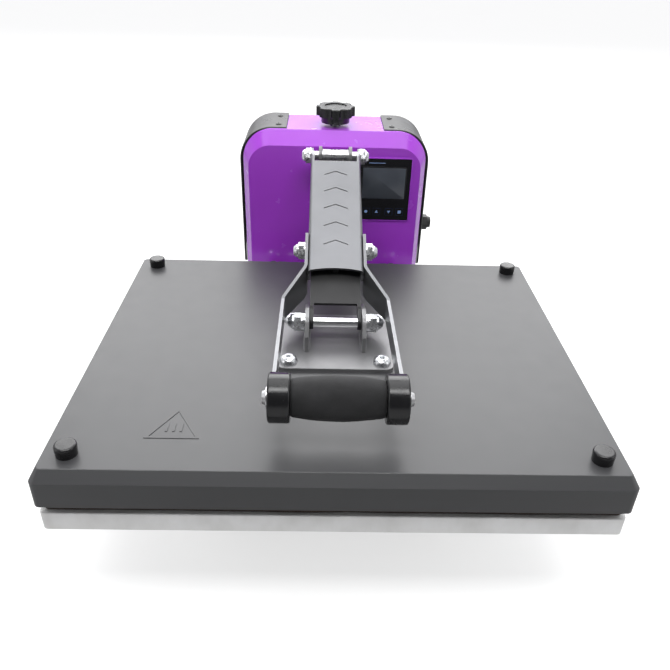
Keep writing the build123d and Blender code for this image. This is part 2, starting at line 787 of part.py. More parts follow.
def hinge_arm(side):
    """A rear arm of the head, screwed on the platen and running on the main shaft."""
    y, z = PIVOT_D
    x = side * HINGE_X - 5
    low = HEAT_BOTTOM + 3
    inner = PLATEN_Y + COVER_L / 2
    with BuildPart() as arm:
        with BuildSketch(yz(x)):
            with BuildLine():
                Polyline((inner - 4, low), (inner + 6, low), (y, z - ARM_R), (y, z + ARM_R),
                         (inner + 6, z + 5), (inner + 6, HINGE_TOP),
                         (inner - 4, HINGE_TOP), close=True)
            make_face()
            with Locations((y, z)):
                Circle(ARM_R)
                Circle(SHAFT_R + RUN, mode=Mode.SUBTRACT)
        extrude(amount=10)
        with Locations((x + 5, inner - 2.2, (low + HINGE_TOP) / 2)):
            Box(44, 3.6, HINGE_TOP - low)
    return arm.part


# ---- lever ------------------------------------------------------------------------------------
LEVER_W = 62
LEVER_END = 202.4
WEB = 14                      # height of the web's outer face over the line A-B
CHEEK_R = 9.5                 # rounded ends of the channel's cheeks at pivot A
CHEVRON_START = 43            # from pivot A to the first chevron's tip
CHEVRON_PITCH = 28.4


def lever_channel():
    """The lever's folded channel, open below, with five pressed chevrons along its web."""
    half = LEVER_W / 2
    with BuildPart() as channel:
        with BuildSketch(shifted(LEVER, -half)):
            with BuildLine():
                Polyline((0, -CHEEK_R), (16, -WEB), (LEVER_END, -WEB), (LEVER_END, 3),
                         (LEVER_END - 8, 12), (20, 13), (0, CHEEK_R), close=True)
            make_face()
            Circle(CHEEK_R)
        extrude(amount=LEVER_W)
        top = channel.edges().filter_by(Axis(LEVER.origin, LEVER.x_dir)).group_by(SortBy.LENGTH)[-1]
        fillet(top, 4.5)
        with BuildSketch(shifted(LEVER, -half + 3)):
            with Locations((90, 6)):
                Rectangle(260, 34)
        extrude(amount=LEVER_W - 6, mode=Mode.SUBTRACT)
        with BuildSketch(shifted(LEVER, -half + 4.5)):
            with Locations((0, -WEB)):
                Rectangle(50, 20)
        extrude(amount=LEVER_W - 9, mode=Mode.SUBTRACT)
        with BuildSketch(shifted(LEVER, -half - 1)):
            Circle(PIN_R)
            with Locations((AB_LENGTH, 0)):
                Circle(PIN_R)
        extrude(amount=LEVER_W + 2, mode=Mode.SUBTRACT)
    web = Plane(origin=LEVER.from_local_coords(Vector(0, -WEB, 0)), x_dir=(1, 0, 0),
                z_dir=-LEVER.y_dir)
    with BuildPart() as cuts:
        for mark in range(5):
            tip = -CHEVRON_START - CHEVRON_PITCH * mark
            with BuildSketch(web):
                with BuildLine():
                    Polyline((-14.2, tip - 6.5), (0, tip), (14.2, tip - 6.5), (14.2, tip - 8.6),
                             (0, tip - 2.1), (-14.2, tip - 8.6), close=True)
                make_face()
            extrude(amount=-0.8)
        with BuildSketch(web):
            with Locations((0, -LEVER_END - 120)):
                Circle(124)
        extrude(amount=-8)
    return channel.part - cuts.part


ARM_T = 3.2                   # bars of the lever's arms


def lever_arm(side):
    """A flat bar bolted outside the channel, bent out and levelled to carry the grip."""
    with BuildPart() as bar:
        with BuildSketch(yz(25)):
            with BuildLine():
                Polyline((PLATEN_Y + 100, 255.2), (PLATEN_Y + 48.8, 232.4), (PLATEN_Y + 12, 217.3),
                         (GRIP[0] + 20, 222.5), (GRIP[0], 228), (GRIP[0], 202),
                         (GRIP[0] + 28, 203.5), (PLATEN_Y + 12, 191.4), (PLATEN_Y + 50, 197),
                         (PLATEN_Y + 88, 222), (PLATEN_Y + 106, 232), close=True)
            make_face()
            with Locations(GRIP):
                Circle(13)
                Circle(4, mode=Mode.SUBTRACT)
            with Locations(PIVOT_B):
                Circle(PIN_R, mode=Mode.SUBTRACT)
        extrude(amount=40)
        with BuildSketch(Plane.XY.offset(150)):
            with BuildLine():
                FilletPolyline((32.8, PLATEN_Y + 120), (32.8, PLATEN_Y + 56), (56, PLATEN_Y + 14),
                               (56, GRIP[0] - 20), radius=8)
                offset(amount=ARM_T / 2)
            make_face()
        extrude(amount=200, mode=Mode.INTERSECT)
    return bar.part if side > 0 else reflect(bar.part)


def lever_stop():
    """The cross plate under the front of the channel."""
    with BuildPart() as plate:
        with BuildSketch(shifted(LEVER, -28)):
            with Locations((LEVER_END - 12, -6.8)):
                Rectangle(4, 8.2)
        extrude(amount=56)
    return plate.part


def stop_bolt():
    """The round-headed bolt in the middle of the cross plate."""
    face = Plane(origin=LEVER.from_local_coords(Vector(LEVER_END - 10, -6.5, 0)), x_dir=(1, 0, 0),
                 z_dir=LEVER.x_dir)
    with BuildPart() as bolt:
        with BuildSketch(face):
            Circle(3.9)
        extrude(amount=5)
        fillet(bolt.faces().sort_by(Axis.Y)[0].edges(), 1.2)
    return bolt.part


def lever_pin(pivot, reach):
    with BuildPart() as pin:
        with BuildSketch(Plane(origin=(-reach, *pivot), x_dir=(0, 1, 0), z_dir=(1, 0, 0))):
            Circle(PIN_R)
        extrude(amount=2 * reach)
    return pin.part


def spacer_a():
    """The sleeve on pin A between the two clevis ears."""
    with BuildPart() as sleeve:
        with BuildSketch(Plane(origin=(-16.5, *PIVOT_A), x_dir=(0, 1, 0), z_dir=(1, 0, 0))):
            Circle(8.5)
            Circle(PIN_R, mode=Mode.SUBTRACT)
        extrude(amount=33)
    return sleeve.part


def pair_washers(x, pivot, thickness, outer):
    return Compound(children=[washer(s * x, pivot, thickness, outer, PIN_R) for s in (-1, 1)])


def pair_nuts(x, pivot, length):
    return Compound(children=[acorn_nut(s * x, pivot, PIN_R, length) for s in (-1, 1)])


def grip_hub(side):
    """The moulded end of the grip, with the slot that the arm's end sits in."""
    x = 40.5 if side > 0 else -59.5
    with BuildPart() as hub:
        with BuildSketch(Plane(origin=(x, *GRIP), x_dir=(0, 1, 0), z_dir=(1, 0, 0))):
            Circle(21.8)
        extrude(amount=19)
        fillet(hub.edges().filter_by(GeomType.CIRCLE), 2)
        with BuildSketch(Plane(origin=(x - 1, *GRIP), x_dir=(0, 1, 0), z_dir=(1, 0, 0))):
            Circle(4)
        extrude(amount=22, mode=Mode.SUBTRACT)
        with Locations((side * 56, GRIP[0] + 10, GRIP[1] + 1)):
            Box(ARM_T + 0.4, 50, 30, mode=Mode.SUBTRACT)
    return hub.part


def grip_sleeve():
    """The foam sleeve of the hand grip, thickest in the middle."""
    with BuildPart() as sleeve:
        with BuildSketch(Plane(origin=(0, *GRIP), x_dir=(1, 0, 0), z_dir=(0, 0, 1))):
            with BuildLine():
                Line((-40.4, 4), (-40.4, 16.4))
                ThreePointArc((-40.4, 16.4), (0, 20), (40.4, 16.4))
                Line((40.4, 16.4), (40.4, 4))
                Line((40.4, 4), (-40.4, 4))
            make_face()
        revolve(axis=Axis((0, *GRIP), (1, 0, 0)))
    return sleeve.part


def grip_bolts():
    """The button heads that close the rod at both ends of the grip."""
    pieces = []
    for side in (-1, 1):
        seat = Plane(origin=(side * 59.6, *GRIP), x_dir=(0, 1, 0), z_dir=(side, 0, 0))
        with BuildPart() as head:
            with BuildSketch(seat):
                Circle(9.5)
            extrude(amount=1.6)
            with BuildSketch(seat.offset(1.6)):
                Circle(7)
            extrude(amount=3.4, taper=24)
            with BuildSketch(seat.offset(5)):
                RegularPolygon(2.6, 6)
            extrude(amount=-2.4, mode=Mode.SUBTRACT)
        pieces.append(head.part)
    return Compound(children=pieces)


# ---- link -------------------------------------------------------------------------------------
LINK_END_R = 7.6


def toggle_link():
    """The link between the lever and the head: two cheeks joined by a web."""
    with BuildPart() as link:
        for x in (-27.5, 23.5):
            with BuildSketch(shifted(LINK, x)):
                with BuildLine():
                    Polyline((0, -9.5), (12, -9.5), (20, -2), (BC_LENGTH - 20, -2),
                             (BC_LENGTH - 12, -LINK_END_R), (BC_LENGTH, -LINK_END_R),
                             (BC_LENGTH, LINK_END_R), (0, 9.5), close=True)
                make_face()
                with Locations((0, 0)):
                    Circle(9.5)
                with Locations((BC_LENGTH, 0)):
                    Circle(LINK_END_R)
                with Locations((0, 0)):
                    Circle(PIN_R + RUN, mode=Mode.SUBTRACT)
                with Locations((BC_LENGTH, 0)):
                    Circle(5.5, mode=Mode.SUBTRACT)
            extrude(amount=4)
        with BuildSketch(shifted(LINK, -24)):
            with Locations(((20 + BC_LENGTH - 24) / 2, 0)):
                Rectangle(BC_LENGTH - 44, 4)
        extrude(amount=48)
    return link.part


def link_pin():
    """The bright round bar between the cheeks at pivot C."""
    return rod(-27.5, 27.5, PIVOT_C, 5.5)


PIECES = {
    "base_rail_left": base_rail(-1),
    "base_rail_right": base_rail(1),
    "base_cross_front": cross_bar(PLATEN_Y - 70, 40),
    "base_cross_middle": cross_bar(PLATEN_Y + 70, 40),
    "base_cross_rear": cross_bar(TOWER_BACK - 70, 50),
    "rubber_feet": feet(),
    "platen_pedestal": pedestal(),
    "lower_platen": lower_platen(),
    "silicone_pad": silicone_pad(),
    "tower_plate_left": tower_plate(-1),
    "tower_plate_right": tower_plate(1),
    "tower_feet": Compound(children=[tower_foot(-1), tower_foot(1)]),
    "tower_bridge": tower_bridge(),
    "clevis_ear_left": clevis(-1),
    "clevis_ear_right": clevis(1),
    "pivot_shaft": pivot_shaft(),
    "shaft_collars": shaft_collars(),
    "housing_front": housing_front(),
    "housing_cap_left": housing_cap(-1),
    "housing_cap_right": housing_cap(1),
    "housing_back": housing_back(),
    "back_screws": back_screws(),
    "cap_screws": cap_screws(),
    "display_panel": display_panel(),
    "control_board": control_board(),
    "mains_inlet": inlet(),
    "switch_frame": switch_frame(),
    "switch_rocker": rocker(),
    "cable_gland": cable_gland(),
    "pressure_knob": pressure_knob(),
    "pressure_screw": pressure_screw(),
    "pressure_block": pressure_block(),
    "guide_rods": guide_rods(),
    "heat_platen": heat_platen(),
    "heating_element": heating_element(),
    "insulation_blanket": insulation(),
    "platen_cover": cover(),
    "spacer_posts": posts(),
    "cover_knobs": cover_knobs(),
    "bracket_plate": bracket_plate(),
    "bracket_ear_left": bracket_ear(-1),
    "bracket_ear_right": bracket_ear(1),
    "bracket_screws": bracket_screws(),
    "ear_bolts": ear_bolts(),
    "ear_washers": ear_washers(),
    "ear_nuts": ear_nuts(),
    "hinge_arm_left": hinge_arm(-1),
    "hinge_arm_right": hinge_arm(1),
    "lever_channel": lever_channel(),
    "lever_arm_left": lever_arm(-1),
    "lever_arm_right": lever_arm(1),
    "lever_cross_plate": Compound(children=[lever_stop(), stop_bolt()]),
    "lever_pins": Compound(children=[lever_pin(PIVOT_A, 38.5), lever_pin(PIVOT_B, 41.9), spacer_a()]),
    "lever_washers": Compound(children=[pair_washers(31, PIVOT_A, 1.6, 10),
                                        pair_washers(34.4, PIVOT_B, 1.6, 10)]),
    "lever_nuts": Compound(children=[pair_nuts(32.6, PIVOT_A, 10.2), pair_nuts(36, PIVOT_B, 12)]),
    "grip_ends": Compound(children=[grip_hub(-1), grip_hub(1)]),
    "grip_sleeve": grip_sleeve(),
    "grip_rod": Compound(children=[rod(-59.5, 59.5, GRIP, 4), grip_bolts()]),
    "toggle_link": toggle_link(),
    "link_pin": link_pin(),
}

for name, piece in PIECES.items():
    save(name, piece)
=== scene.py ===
import json
import math

import bmesh
import bpy
from mathutils import Euler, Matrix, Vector, noise


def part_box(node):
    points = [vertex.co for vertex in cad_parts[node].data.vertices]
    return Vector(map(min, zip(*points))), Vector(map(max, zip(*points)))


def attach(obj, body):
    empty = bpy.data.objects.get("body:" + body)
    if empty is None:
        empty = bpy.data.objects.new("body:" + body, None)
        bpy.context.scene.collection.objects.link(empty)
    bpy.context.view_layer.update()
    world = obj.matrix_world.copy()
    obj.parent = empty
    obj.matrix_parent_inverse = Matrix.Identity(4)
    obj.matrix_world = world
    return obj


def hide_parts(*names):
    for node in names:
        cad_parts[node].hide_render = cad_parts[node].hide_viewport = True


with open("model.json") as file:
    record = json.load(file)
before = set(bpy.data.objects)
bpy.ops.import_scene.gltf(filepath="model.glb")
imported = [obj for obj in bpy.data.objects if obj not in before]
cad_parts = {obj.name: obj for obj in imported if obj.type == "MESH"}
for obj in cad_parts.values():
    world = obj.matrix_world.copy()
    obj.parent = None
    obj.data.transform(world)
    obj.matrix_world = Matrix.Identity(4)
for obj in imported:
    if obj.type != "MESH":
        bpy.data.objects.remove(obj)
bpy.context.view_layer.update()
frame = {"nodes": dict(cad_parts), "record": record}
MM = 0.001
WHITE = (1, 1, 1, 1)
scene = bpy.context.scene

# The fitted camera: place in metres, lens in mm on a 36 mm sensor, angles in degrees.
CAMERA_PLACE = (-0.01747, -0.70084, 0.56156)
CAMERA_LENS = 36.262
CAMERA_DOWN = 31.647
CAMERA_TURN = -1.6215
CAMERA_ROLL = 1.8343

# The studio: the world's strength fades from the operator's side to the back.
WORLD_COLOUR = (0.97, 0.975, 1.0, 1)
WORLD_FRONT = 0.12
WORLD_REAR = 1.0
FLOOR_PAINT = (0.42, 0.42, 0.42)
FLOOR_LIFT = 0.66

# Paint rubbed off along edges, and lighter there also as a painted edge highlight: how wide, and how
# much of it at most.
WEAR_AND_HIGHLIGHT_WIDTH = 1.2 * MM
WEAR_AND_HIGHLIGHT_AMOUNT = 0.6


# ---- camera and light -------------------------------------------------------------------------
def make_camera():
    """The photograph's view: from the operator's side, level with the lever's top, looking down."""
    data = bpy.data.cameras.new("camera")
    data.sensor_width = 36
    data.lens = CAMERA_LENS
    camera = bpy.data.objects.new("camera", data)
    camera.location = CAMERA_PLACE
    aim = Euler((math.radians(90 - CAMERA_DOWN), 0, math.radians(CAMERA_TURN))).to_matrix()
    roll = Euler((0, 0, math.radians(CAMERA_ROLL))).to_matrix()
    camera.rotation_euler = (aim @ roll).to_euler()
    scene.collection.objects.link(camera)
    scene.camera = camera


def softbox(name, place, target, width, height, watts):
    """A white rectangular light of a size in metres, turned to its target."""
    data = bpy.data.lights.new(name, "AREA")
    data.shape = "RECTANGLE"
    data.size = width
    data.size_y = height
    data.energy = watts
    lamp = bpy.data.objects.new(name, data)
    lamp.location = place
    lamp.rotation_euler = (Vector(target) - Vector(place)).to_track_quat("-Z", "Y").to_euler()
    scene.collection.objects.link(lamp)


def make_lights():
    """Soft light from above and behind, a strip for the sloping edge, and weak fills."""
    softbox("overhead", (0, 0.3, 1.9), (0, 0.1, 0.1), 2.2, 1.2, 14)
    softbox("bevel_strip", (0, -0.75, 1.85), (0, 0.12, 0.3), 1.7, 0.45, 22)
    softbox("back_panel", (0, 2.1, 1.75), (0, 0, 0.15), 3.4, 1.5, 62)
    softbox("left_fill", (-1.8, -0.7, 0.9), (0, 0, 0.15), 0.9, 1.2, 4)
    softbox("right_fill", (1.8, -0.6, 1.0), (0, 0, 0.15), 0.9, 1.2, 4)


def make_world():
    """A pale world, dimmer at the front, and plain white where the camera sees it directly."""
    world = bpy.data.worlds.new("studio")
    world.use_nodes = True
    tree = world.node_tree
    back = tree.nodes["Background"]
    coords = tree.nodes.new("ShaderNodeTexCoord")
    split = tree.nodes.new("ShaderNodeSeparateXYZ")
    fade = tree.nodes.new("ShaderNodeMapRange")
    fade.inputs["From Min"].default_value = -0.6
    fade.inputs["From Max"].default_value = 0.5
    fade.inputs["To Min"].default_value = WORLD_FRONT
    fade.inputs["To Max"].default_value = WORLD_REAR
    tree.links.new(coords.outputs["Generated"], split.inputs[0])
    tree.links.new(split.outputs["Y"], fade.inputs["Value"])
    tree.links.new(fade.outputs["Result"], back.inputs["Strength"])
    back.inputs["Color"].default_value = WORLD_COLOUR
    seen = tree.nodes.new("ShaderNodeLightPath")
    white = tree.nodes.new("ShaderNodeBackground")
    mixed = tree.nodes.new("ShaderNodeMixShader")
    tree.links.new(seen.outputs["Is Camera Ray"], mixed.inputs["Fac"])
    tree.links.new(back.outputs[0], mixed.inputs[1])
    tree.links.new(white.outputs[0], mixed.inputs[2])
    white.inputs["Color"].default_value = WHITE
    tree.links.new(mixed.outputs[0], tree.nodes["World Output"].inputs["Surface"])
    scene.world = world
    scene.view_settings.view_transform = "Standard"


# ---- materials --------------------------------------------------------------------------------
class Paint:
    """One procedural material: a shader with object coordinates and small helpers for its nodes."""

    def __init__(self, name, colour, rough, metal=0.0):
        self.material = bpy.data.materials.new(name)
        self.material.use_nodes = True
        self.tree = self.material.node_tree
        self.shader = self.tree.nodes["Principled BSDF"]
        self.colour = colour
        self.rough = rough
        self.set("Base Color", (*colour, 1))
        self.set("Roughness", rough)
        self.set("Metallic", metal)
        self.coords = self.node("ShaderNodeTexCoord").outputs["Object"]
        self.height = None

    def node(self, kind, **values):
        made = self.tree.nodes.new(kind)
        for key, value in values.items():
            setattr(made, key, value)
        return made

    def set(self, socket, value):
        self.shader.inputs[socket].default_value = value

    def link(self, out, socket):
        self.tree.links.new(out, socket)

    def noise(self, scale, detail=3.0, stretch=(1, 1, 1)):
        """Noise at a scale in cells per metre, longer along the axes whose stretch is small."""
        mapping = self.node("ShaderNodeMapping")
        mapping.inputs["Scale"].default_value = stretch
        self.link(self.coords, mapping.inputs["Vector"])
        made = self.node("ShaderNodeTexNoise")
        made.inputs["Scale"].default_value = scale
        made.inputs["Detail"].default_value = detail
        self.link(mapping.outputs[0], made.inputs["Vector"])
        return made.outputs["Fac"]

    def spread(self, fac, low, high):
        """Maps the middle of a noise to low..high."""
        made = self.node("ShaderNodeMapRange")
        made.inputs["From Min"].default_value = 0.3
        made.inputs["From Max"].default_value = 0.7
        made.inputs["To Min"].default_value = low
        made.inputs["To Max"].default_value = high
        self.link(fac, made.inputs["Value"])
        return made.outputs["Result"]

    def tint(self, fac, dark, light):
        """Colour from dark to light multiples of the base colour, by a noise."""
        ramp = self.node("ShaderNodeMix", data_type="RGBA")
        ramp.inputs["A"].default_value = (*[c * dark for c in self.colour], 1)
        ramp.inputs["B"].default_value = (*[min(1, c * light) for c in self.colour], 1)
        self.link(self.spread(fac, 0, 1), ramp.inputs["Factor"])
        self.top = ramp.outputs["Result"]
        self.link(self.top, self.shader.inputs["Base Color"])

    def vary_roughness(self, fac, amount):
        varied = self.spread(fac, self.rough - amount, self.rough + amount)
        self.link(varied, self.shader.inputs["Roughness"])

    def bump(self, fac, depth, strength=0.5):
        """Adds one bump layer, depth in metres, over those already there."""
        made = self.node("ShaderNodeBump")
        made.inputs["Strength"].default_value = strength
        made.inputs["Distance"].default_value = depth
        self.link(fac, made.inputs["Height"])
        if self.height:
            self.link(self.height, made.inputs["Normal"])
        self.height = made.outputs["Normal"]
        self.link(self.height, self.shader.inputs["Normal"])

    def worn_and_highlit_edges(self, colour):
        """Paint rubbed to a lighter colour along the outer edges, partly wear and partly a painted edge
        highlight, broken up by noise.
        """
        bevel = self.node("ShaderNodeBevel", samples=6)
        bevel.inputs["Radius"].default_value = WEAR_AND_HIGHLIGHT_WIDTH
        plain = self.node("ShaderNodeNewGeometry")
        dot = self.node("ShaderNodeVectorMath", operation="DOT_PRODUCT")
        self.link(bevel.outputs[0], dot.inputs[0])
        self.link(plain.outputs["Normal"], dot.inputs[1])
        edge = self.node("ShaderNodeMapRange")
        edge.inputs["From Min"].default_value = 0.97
        edge.inputs["From Max"].default_value = 0.8
        edge.inputs["To Max"].default_value = WEAR_AND_HIGHLIGHT_AMOUNT
        self.link(dot.outputs["Value"], edge.inputs["Value"])
        broken = self.node("ShaderNodeMath", operation="MULTIPLY")
        self.link(edge.outputs[0], broken.inputs[0])
        self.link(self.spread(self.noise(160, 4), 0.2, 1), broken.inputs[1])
        over = self.node("ShaderNodeMix", data_type="RGBA")
        over.inputs["B"].default_value = (*colour, 1)
        self.link(broken.outputs[0], over.inputs["Factor"])
        self.link(self.top, over.inputs["A"])
        self.top = over.outputs["Result"]
        self.link(self.top, self.shader.inputs["Base Color"])


def powder_coat(name, colour, rough, grain=0.00006, worn_and_highlit=None, cloud=0.08):
    """Textured paint with fine orange peel, faint clouding and rubbed edges that are partly a painted
    edge highlight.
    """
    paint = Paint(name, colour, rough)
    paint.tint(paint.noise(14, 5), 1 - cloud, 1 + cloud)
    paint.vary_roughness(paint.noise(60, 3), cloud * 0.6)
    paint.bump(paint.noise(1100, 2), grain)
    paint.bump(paint.noise(220, 2), grain * 0.6, 0.3)
    if worn_and_highlit:
        paint.worn_and_highlit_edges(worn_and_highlit)
    return paint


def gloss_paint(name, colour, rough=0.2, coat=0.6):
    """Smooth paint or shiny moulding under a clear coat."""
    paint = Paint(name, colour, rough)
    paint.tint(paint.noise(9, 3), 0.95, 1.05)
    paint.vary_roughness(paint.noise(45, 4), 0.04)
    paint.bump(paint.noise(260, 2), 0.000012, 0.3)
    paint.set("Coat Weight", coat)
    paint.set("Coat Roughness", 0.12)
    return paint


def bare_metal(name, colour, rough, lines=(1, 1, 1), grain=700, depth=0.00002, blotch=0.12):
    """Metal with fine lines along the axis whose stretch is small, and a mottled finish."""
    metal = Paint(name, colour, rough, 1.0)
    metal.tint(metal.noise(40, 6), 1 - blotch, 1 + blotch)
    metal.vary_roughness(metal.noise(grain * 0.5, 4, lines), 0.1)
    metal.bump(metal.noise(grain, 3, lines), depth)
    return metal


def moulded(name, colour, rough, grain=0.00005, scale=1500):
    """Moulded plastic or rubber with a fine grained surface."""
    plastic = Paint(name, colour, rough)
    plastic.tint(plastic.noise(30, 4), 0.85, 1.15)
    plastic.vary_roughness(plastic.noise(90, 3), 0.06)
    plastic.bump(plastic.noise(scale, 2), grain)
    return plastic


def milled_platen():
    """Sawn and milled aluminium: bright, with uneven streaks along the edge and dull patches."""
    metal = Paint("milled aluminium", (0.97, 0.965, 0.95), 0.42, 0.05)
    metal.tint(metal.noise(34, 8, (1, 1, 0.6)), 0.84, 1.06)
    metal.vary_roughness(metal.noise(160, 5, (0.25, 1, 1)), 0.14)
    metal.bump(metal.noise(420, 5, (0.12, 1, 1)), 0.00012, 0.6)
    metal.bump(metal.noise(1500, 2, (1, 1, 1)), 0.00003, 0.4)
    return metal


def foam():
    """Closed-cell foam: matt, with small cells and dusty high spots."""
    made = Paint("grip foam", (0.01, 0.01, 0.011), 0.85)
    made.tint(made.noise(55, 5), 0.7, 1.5)
    cells = made.node("ShaderNodeTexVoronoi")
    cells.inputs["Scale"].default_value = 1500
    made.link(made.coords, cells.inputs["Vector"])
    made.bump(cells.outputs["Distance"], 0.00022, 0.6)
    made.bump(made.noise(300, 3), 0.0002, 0.4)
    made.set("Sheen Weight", 0.1)
    made.set("Sheen Roughness", 0.5)
    return made


def felt(name, colour):
    """Fibre felt: two crossed layers of short fibres."""
    made = Paint(name, colour, 0.95)
    made.tint(made.noise(70, 6), 0.85, 1.1)
    made.bump(made.noise(900, 5, (0.3, 1, 1)), 0.0004, 0.8)
    made.bump(made.noise(900, 5, (1, 0.3, 1)), 0.0004, 0.8)
    made.set("Sheen Weight", 0.4)
    return made


def screen(name, colour, glow=0.0):
    """Smooth display glass, or a lit area behind it."""
    made = Paint(name, colour, 0.12)
    made.tint(made.noise(25, 2), 0.85, 1.15)
    if glow:
        made.set("Emission Color", (*colour, 1))
        made.set("Emission Strength", glow)
    made.bump(made.noise(2500, 1), 0.000004, 0.2)
    return made


def circuit_board():
    """Green board with lighter and darker tracks."""
    board = Paint("circuit board", (0.03, 0.16, 0.07), 0.4)
    board.tint(board.noise(240, 2, (1, 1, 0.2)), 0.6, 1.5)
    board.bump(board.noise(900, 1, (1, 1, 0.2)), 0.0001)
    return board


# Lighter colour along paint edges: rubbed paint, and a painted edge highlight.
EDGE_WEAR_AND_HIGHLIGHT = (0.3, 0.3, 0.31)
MATERIALS = {
    "frame_black": powder_coat("frame coat", (0.03, 0.03, 0.033), 0.5, 0.0001, EDGE_WEAR_AND_HIGHLIGHT),
    "tower_black": powder_coat("tower coat", (0.035, 0.035, 0.038), 0.48, 0.00008, EDGE_WEAR_AND_HIGHLIGHT),
    "cast_grey": powder_coat("painted casting", (0.1, 0.1, 0.105), 0.6, 0.0003),
    "foot_rubber": moulded("foot rubber", (0.02, 0.02, 0.02), 0.75, 0.0001, 700),
    "platen_aluminium": milled_platen(),
    "heat_plate": bare_metal("coated platen", (0.12, 0.115, 0.11), 0.5, (0.1, 1, 1)),
    "silicone": moulded("silicone sponge", (0.035, 0.02, 0.015), 0.85, 0.0002, 900),
    "bright_steel": bare_metal("ground steel", (0.6, 0.6, 0.61), 0.32, (1, 0.08, 0.08), 900),
    "zinc": bare_metal("zinc plate", (0.72, 0.73, 0.75), 0.28, (1, 1, 1), 500, 0.00001, 0.06),
    "cap_screw_black": moulded("black oxide", (0.03, 0.03, 0.03), 0.35),
    "housing_purple": gloss_paint("purple paint", (0.39, 0.05, 0.66), 0.24, 0.5),
    "housing_black": gloss_paint("black moulding", (0.004, 0.004, 0.005), 0.3, 0.1),
    "back_grey": powder_coat("back panel coat", (0.05, 0.05, 0.053), 0.5, 0.0001, EDGE_WEAR_AND_HIGHLIGHT),
    "display_glass": screen("panel glass", (0.006, 0.006, 0.008)),
    "board_green": circuit_board(),
    "socket_black": moulded("black nylon", (0.02, 0.02, 0.02), 0.42),
    "rocker_red": gloss_paint("red moulding", (0.42, 0.015, 0.01), 0.25, 0.2),
    "knob_black": moulded("knob plastic", (0.008, 0.008, 0.009), 0.24, 0.00003, 1800),
    "cover_paint": powder_coat("grey satin coat", (0.05, 0.0505, 0.053), 0.4, 0.00004, cloud=0.025),
    "bracket_grey": powder_coat("bracket coat", (0.2, 0.2, 0.205), 0.36, 0.00004, (0.5, 0.5, 0.5)),
    "element_steel": bare_metal("heater sheath", (0.3, 0.27, 0.24), 0.45, (0.1, 1, 1)),
    "blanket": felt("mineral felt", (0.75, 0.73, 0.66)),
    "lever_silver": powder_coat("silver coat", (0.2, 0.203, 0.213), 0.34, 0.00004, (0.5, 0.5, 0.5)),
    # Link paint: black, made darker still to stand for the shade under the lever, so partly painted
    # shade.
    "link_black": powder_coat("link coat with painted shade", (0.009, 0.009, 0.01), 0.5, 0.00005, (0.12, 0.12, 0.125)),
    "polished_bar": bare_metal("polished bar", (0.9, 0.9, 0.91), 0.14, (0.08, 1, 1), 900, 0.00001, 0.05),
    "grip_foam": foam(),
}
MATERIALS["lever_silver"].set("Metallic", 0.8)
MATERIALS["bracket_grey"].set("Metallic", 0.35)
MATERIALS["cover_paint"].set("Specular IOR Level", 0.55)


def dress_cad():
    """Gives every CAD node its material, by the slot that the record names for it."""
    for part in frame["record"]["subparts"]:
        node = frame["nodes"][part["node"]]
        node.data.materials.clear()
        node.data.materials.append(MATERIALS[part["material_slot"]].material)


def piece(name, bm, slot, body, angle=40):
    """Turns a bmesh into a finished piece that rides on a body and takes a slot's material."""
    bmesh.ops.recalc_face_normals(bm, faces=bm.faces)
    mesh = bpy.data.meshes.new(name)
    bm.to_mesh(mesh)
    bm.free()
    made = bpy.data.objects.new(name, mesh)
    scene.collection.objects.link(made)
    made.data.materials.append(MATERIALS[slot].material)
    mesh.shade_smooth()
    mesh.set_sharp_from_angle(angle=math.radians(angle))
    # the screen's own materials aren't slots of the record: they belong to its glass
    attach(made, body)
    return made


def loops_to_mesh(bm, rings, caps=True):
    """Skins a list of closed rings of points, each ring joined to the next."""
    rows = [[bm.verts.new(p) for p in ring] for ring in rings]
    count = len(rows[0])
    for low, high in zip(rows, rows[1:]):
        for i in range(count):
            j = (i + 1) % count
            bm.faces.new((low[i], low[j], high[j], high[i]))
    if caps:
        bm.faces.new(rows[0])
        bm.faces.new(rows[-1])
    return rows


def rounded_rectangle(half_x, half_y, radius, steps=6, along=1):
    """Points round a rounded rectangle, with along points on each straight side."""
    corners = ((1, 1, 0), (-1, 1, 90), (-1, -1, 180), (1, -1, 270))
    points = []
    for index, (sx, sy, start) in enumerate(corners):
        cx, cy = sx * (half_x - radius), sy * (half_y - radius)
        for step in range(steps + 1):
            turn = math.radians(start + 90 * step / steps)
            points.append((cx + radius * math.cos(turn), cy + radius * math.sin(turn)))
        nx, ny, following = corners[(index + 1) % 4]
        turn = math.radians(following)
        end = (nx * (half_x - radius) + radius * math.cos(turn),
               ny * (half_y - radius) + radius * math.sin(turn))
        begin = points[-1]
        for step in range(1, along):
            t = step / along
            points.append((begin[0] + (end[0] - begin[0]) * t, begin[1] + (end[1] - begin[1]) * t))
    return points


# ---- soft parts -------------------------------------------------------------------------------
def soft_slab(node, name, slot, body, corner, round_edge, wobble):
    """A mat in a CAD slab's place: rounded rims, and edges that wander a little in and out."""
    low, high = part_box(node)
    middle = (low + high) / 2
    half = (high - low) / 2
    edge = min(round_edge, half.z * 0.95)
    profile = []
    for degrees in range(0, 91, 18):
        turn = math.radians(degrees)
        profile.append((half.z - edge + edge * math.sin(turn), edge - edge * math.cos(turn)))
    levels = [(-h, inset) for h, inset in reversed(profile)] + profile
    levels = [(-half.z, edge + 3 * MM)] + levels + [(half.z, edge + 3 * MM)]
    rings = []
    for height, inset in levels:
        ring = []
        for x, y in rounded_rectangle(half.x - inset, half.y - inset, corner, 6, 90):
            drift = noise.noise(Vector((x * 22, y * 22, 3.1))) - 0.6
            shrink = 1 + wobble * drift / max(half.x, half.y)
            ring.append((middle.x + x * shrink, middle.y + y * shrink, middle.z + height))
        rings.append(ring)
    bm = bmesh.new()
    loops_to_mesh(bm, rings)
    made = piece(name, bm, slot, body)
    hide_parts(node)


